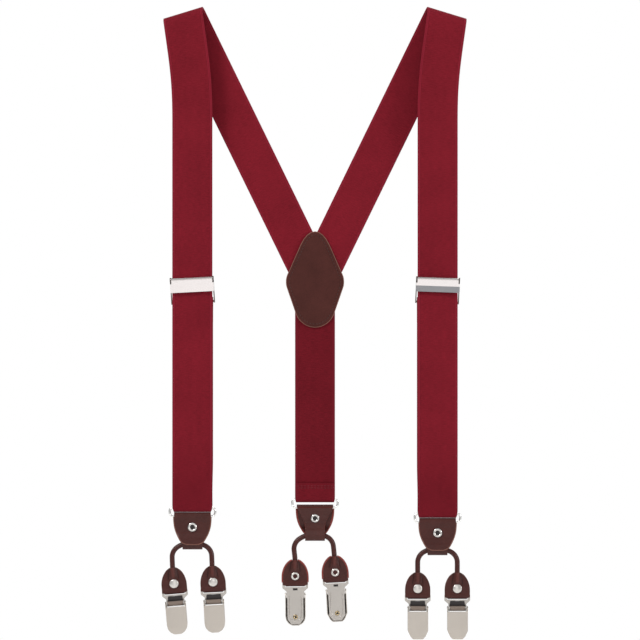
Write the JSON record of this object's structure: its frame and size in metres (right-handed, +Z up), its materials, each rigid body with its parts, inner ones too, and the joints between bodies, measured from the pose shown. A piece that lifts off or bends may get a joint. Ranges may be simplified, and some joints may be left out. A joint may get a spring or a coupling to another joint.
{
  "type": "suspenders",
  "caption": "Y-back elastic suspenders with a leather back patch, slide adjusters on the front straps, leather tabs and runners on wire rings, and spring clips with flip covers.",
  "frame": {"origin": "midway between the two shoulder folds, at the height of their tops", "axes": "+Z up as worn or hung, the front straps and the wearer's front towards -Y, the viewer's left at -X"},
  "size_m": [0.2683, 0.0228, 0.5493],
  "materials": {
    "webbing": "fine ribbed elastic weave",
    "leather": "smooth satin grain",
    "nickel": "polished nickel plate",
    "satin_nickel": "satin nickel plate",
    "plastic": "moulded, with teeth"
  },
  "bodies": {
    "yoke": {"left_strap_upper": "webbing", "right_strap_upper": "webbing", "rear_strap": "webbing", "patch_outer": "leather", "patch_inner": "leather"},
    "left_end": {"left_strap_lower": "webbing"},
    "left_adjuster": {"left_adjuster_frame": "nickel"},
    "left_lever": {"left_adjuster_lever": "nickel"},
    "right_end": {"right_strap_lower": "webbing"},
    "right_adjuster": {"right_adjuster_frame": "nickel"},
    "right_lever": {"right_adjuster_lever": "nickel"},
    "left_ring": {"left_ring": "nickel"},
    "left_tab": {"left_tab": "leather", "left_tab_eyelet": "nickel"},
    "left_runner": {"left_runner": "leather", "left_rivet_a": "satin_nickel", "left_rivet_b": "satin_nickel"},
    "left_clip_a": {"left_clip_a_base": "nickel", "left_clip_a_pin": "nickel", "left_clip_a_pad": "plastic"},
    "left_clip_a_cover": {"left_clip_a_cover": "satin_nickel"},
    "left_clip_a_jaw": {"left_clip_a_jaw": "nickel"},
    "left_clip_b": {"left_clip_b_base": "nickel", "left_clip_b_pin": "nickel", "left_clip_b_pad": "plastic"},
    "left_clip_b_cover": {"left_clip_b_cover": "satin_nickel"},
    "left_clip_b_jaw": {"left_clip_b_jaw": "nickel"},
    "right_ring": {"right_ring": "nickel"},
    "right_tab": {"right_tab": "leather", "right_tab_eyelet": "nickel"},
    "right_runner": {"right_runner": "leather", "right_rivet_a": "satin_nickel", "right_rivet_b": "satin_nickel"},
    "right_clip_a": {"right_clip_a_base": "nickel", "right_clip_a_pin": "nickel", "right_clip_a_pad": "plastic"},
    "right_clip_a_cover": {"right_clip_a_cover": "satin_nickel"},
    "right_clip_a_jaw": {"right_clip_a_jaw": "nickel"},
    "right_clip_b": {"right_clip_b_base": "nickel", "right_clip_b_pin": "nickel", "right_clip_b_pad": "plastic"},
    "right_clip_b_cover": {"right_clip_b_cover": "satin_nickel"},
    "right_clip_b_jaw": {"right_clip_b_jaw": "nickel"},
    "rear_ring": {"rear_ring": "nickel"},
    "rear_tab": {"rear_tab": "leather", "rear_tab_eyelet": "nickel"},
    "rear_runner": {"rear_runner": "leather", "rear_rivet_a": "satin_nickel", "rear_rivet_b": "satin_nickel"},
    "rear_clip_a": {"rear_clip_a_base": "nickel", "rear_clip_a_pin": "nickel", "rear_clip_a_pad": "plastic"},
    "rear_clip_a_cover": {"rear_clip_a_cover": "satin_nickel"},
    "rear_clip_a_jaw": {"rear_clip_a_jaw": "nickel"},
    "rear_clip_b": {"rear_clip_b_base": "nickel", "rear_clip_b_pin": "nickel", "rear_clip_b_pad": "plastic"},
    "rear_clip_b_cover": {"rear_clip_b_cover": "satin_nickel"},
    "rear_clip_b_jaw": {"rear_clip_b_jaw": "nickel"}
  },
  "joints": [
    {"name": "left_length", "type": "slide", "parent": "yoke", "child": "left_end", "axis": [0, 0, 1], "range_m": [-0.12, 0.06], "deforming": ["left_strap_lower"]},
    {"name": "left_adjuster_slide", "type": "slide", "parent": "left_end", "child": "left_adjuster", "axis": [0, 0, 1], "range_m": [-0.12, 0.06]},
    {"name": "left_lever_flip", "type": "hinge", "parent": "left_adjuster", "child": "left_lever", "pos_m": [-0.10695, -0.0093, -0.23151], "axis": [-0.9986, 0, -0.0523], "range_deg": [0, 95]},
    {"name": "right_length", "type": "slide", "parent": "yoke", "child": "right_end", "axis": [0, 0, 1], "range_m": [-0.12, 0.06], "deforming": ["right_strap_lower"]},
    {"name": "right_adjuster_slide", "type": "slide", "parent": "right_end", "child": "right_adjuster", "axis": [0, 0, 1], "range_m": [-0.12, 0.06]},
    {"name": "right_lever_flip", "type": "hinge", "parent": "right_adjuster", "child": "right_lever", "pos_m": [0.10679, -0.0093, -0.23151], "axis": [-0.9994, 0, 0.0349], "range_deg": [0, 95]},
    {"name": "left_ring_swing", "type": "hinge", "parent": "left_end", "child": "left_ring", "pos_m": [-0.10646, -0.0047, -0.4301], "axis": [1, 0, 0], "range_deg": [-50, 50]},
    {"name": "left_tab_swing", "type": "hinge", "parent": "left_ring", "child": "left_tab", "pos_m": [-0.10646, -0.0047, -0.4376], "axis": [1, 0, 0], "range_deg": [-40, 40]},
    {"name": "left_runner_rock", "type": "hinge", "parent": "left_tab", "child": "left_runner", "pos_m": [-0.10646, -0.0032, -0.4845], "axis": [0, -1, 0], "range_deg": [-10.5, 5.5]},
    {"name": "left_clip_a_swing", "type": "hinge", "parent": "left_runner", "child": "left_clip_a", "pos_m": [-0.12195, -0.0032, -0.50267], "axis": [0.9962, 0, 0.0872], "range_deg": [-20, 20]},
    {"name": "left_clip_a_open", "type": "hinge", "parent": "left_clip_a", "child": "left_clip_a_cover", "pos_m": [-0.12111, -0.0076, -0.51224], "axis": [-0.9962, 0, -0.0872], "range_deg": [0, 100]},
    {"name": "left_clip_a_jaw_open", "type": "hinge", "parent": "left_clip_a", "child": "left_clip_a_jaw", "pos_m": [-0.12111, -0.0076, -0.51224], "axis": [-0.9962, 0, -0.0872], "range_deg": [0, 22]},
    {"name": "left_clip_b_swing", "type": "hinge", "parent": "left_runner", "child": "left_clip_b", "pos_m": [-0.08832, -0.0032, -0.50122], "axis": [0.9986, 0, 0.0523], "range_deg": [-20, 20]},
    {"name": "left_clip_b_open", "type": "hinge", "parent": "left_clip_b", "child": "left_clip_b_cover", "pos_m": [-0.08782, -0.0076, -0.51081], "axis": [-0.9986, 0, -0.0523], "range_deg": [0, 100]},
    {"name": "left_clip_b_jaw_open", "type": "hinge", "parent": "left_clip_b", "child": "left_clip_b_jaw", "pos_m": [-0.08782, -0.0076, -0.51081], "axis": [-0.9986, 0, -0.0523], "range_deg": [0, 22]},
    {"name": "right_ring_swing", "type": "hinge", "parent": "right_end", "child": "right_ring", "pos_m": [0.10646, -0.0047, -0.4351], "axis": [1, 0, 0], "range_deg": [-50, 50]},
    {"name": "right_tab_swing", "type": "hinge", "parent": "right_ring", "child": "right_tab", "pos_m": [0.10646, -0.0047, -0.4426], "axis": [1, 0, 0], "range_deg": [-40, 40]},
    {"name": "right_runner_rock", "type": "hinge", "parent": "right_tab", "child": "right_runner", "pos_m": [0.10646, -0.0032, -0.4895], "axis": [0, -1, 0], "range_deg": [-8, 8]},
    {"name": "right_clip_a_swing", "type": "hinge", "parent": "right_runner", "child": "right_clip_a", "pos_m": [0.08926, -0.0032, -0.507], "axis": [1, 0, 0], "range_deg": [-20, 20]},
    {"name": "right_clip_a_open", "type": "hinge", "parent": "right_clip_a", "child": "right_clip_a_cover", "pos_m": [0.08926, -0.0076, -0.5166], "axis": [-1, 0, 0], "range_deg": [0, 100]},
    {"name": "right_clip_a_jaw_open", "type": "hinge", "parent": "right_clip_a", "child": "right_clip_a_jaw", "pos_m": [0.08926, -0.0076, -0.5166], "axis": [-1, 0, 0], "range_deg": [0, 22]},
    {"name": "right_clip_b_swing", "type": "hinge", "parent": "right_runner", "child": "right_clip_b", "pos_m": [0.12366, -0.0032, -0.507], "axis": [1, 0, 0], "range_deg": [-20, 20]},
    {"name": "right_clip_b_open", "type": "hinge", "parent": "right_clip_b", "child": "right_clip_b_cover", "pos_m": [0.12366, -0.0076, -0.5166], "axis": [-1, 0, 0], "range_deg": [0, 100]},
    {"name": "right_clip_b_jaw_open", "type": "hinge", "parent": "right_clip_b", "child": "right_clip_b_jaw", "pos_m": [0.12366, -0.0076, -0.5166], "axis": [-1, 0, 0], "range_deg": [0, 22]},
    {"name": "rear_ring_swing", "type": "hinge", "parent": "yoke", "child": "rear_ring", "pos_m": [0, 0.0047, -0.4231], "axis": [-1, 0, 0], "range_deg": [-50, 50]},
    {"name": "rear_tab_swing", "type": "hinge", "parent": "rear_ring", "child": "rear_tab", "pos_m": [0, 0.0047, -0.4306], "axis": [-1, 0, 0], "range_deg": [-40, 40]},
    {"name": "rear_runner_rock", "type": "hinge", "parent": "rear_tab", "child": "rear_runner", "pos_m": [0, 0.0032, -0.4775], "axis": [0, -1, 0], "range_deg": [-13.5, 2.5]},
    {"name": "rear_clip_a_swing", "type": "hinge", "parent": "rear_runner", "child": "rear_clip_a", "pos_m": [-0.01727, 0.0032, -0.49667], "axis": [-0.9999, 0, -0.0105], "range_deg": [-20, 20]},
    {"name": "rear_clip_a_open", "type": "hinge", "parent": "rear_clip_a", "child": "rear_clip_a_cover", "pos_m": [-0.01717, 0.0076, -0.50626], "axis": [0.9999, 0, 0.0105], "range_deg": [0, 100]},
    {"name": "rear_clip_a_jaw_open", "type": "hinge", "parent": "rear_clip_a", "child": "rear_clip_a_jaw", "pos_m": [-0.01717, 0.0076, -0.50626], "axis": [0.9999, 0, 0.0105], "range_deg": [0, 22]},
    {"name": "rear_clip_b_swing", "type": "hinge", "parent": "rear_runner", "child": "rear_clip_b", "pos_m": [0.01787, 0.0032, -0.49334], "axis": [-0.9986, 0, -0.0523], "range_deg": [-20, 20]},
    {"name": "rear_clip_b_open", "type": "hinge", "parent": "rear_clip_b", "child": "rear_clip_b_cover", "pos_m": [0.01837, 0.0076, -0.50293], "axis": [0.9986, 0, 0.0523], "range_deg": [0, 100]},
    {"name": "rear_clip_b_jaw_open", "type": "hinge", "parent": "rear_clip_b", "child": "rear_clip_b_jaw", "pos_m": [0.01837, 0.0076, -0.50293], "axis": [0.9986, 0, 0.0523], "range_deg": [0, 22]}
  ],
  "couplings": [
    {"joint": "left_adjuster_slide", "follows": "left_length", "ratio": 1},
    {"joint": "right_adjuster_slide", "follows": "right_length", "ratio": 1},
    {"joint": "left_clip_a_jaw_open", "follows": "left_clip_a_open", "ratio": 0.22},
    {"joint": "left_clip_b_jaw_open", "follows": "left_clip_b_open", "ratio": 0.22},
    {"joint": "right_clip_a_jaw_open", "follows": "right_clip_a_open", "ratio": 0.22},
    {"joint": "right_clip_b_jaw_open", "follows": "right_clip_b_open", "ratio": 0.22},
    {"joint": "rear_clip_a_jaw_open", "follows": "rear_clip_a_open", "ratio": 0.22},
    {"joint": "rear_clip_b_jaw_open", "follows": "rear_clip_b_open", "ratio": 0.22}
  ]
}
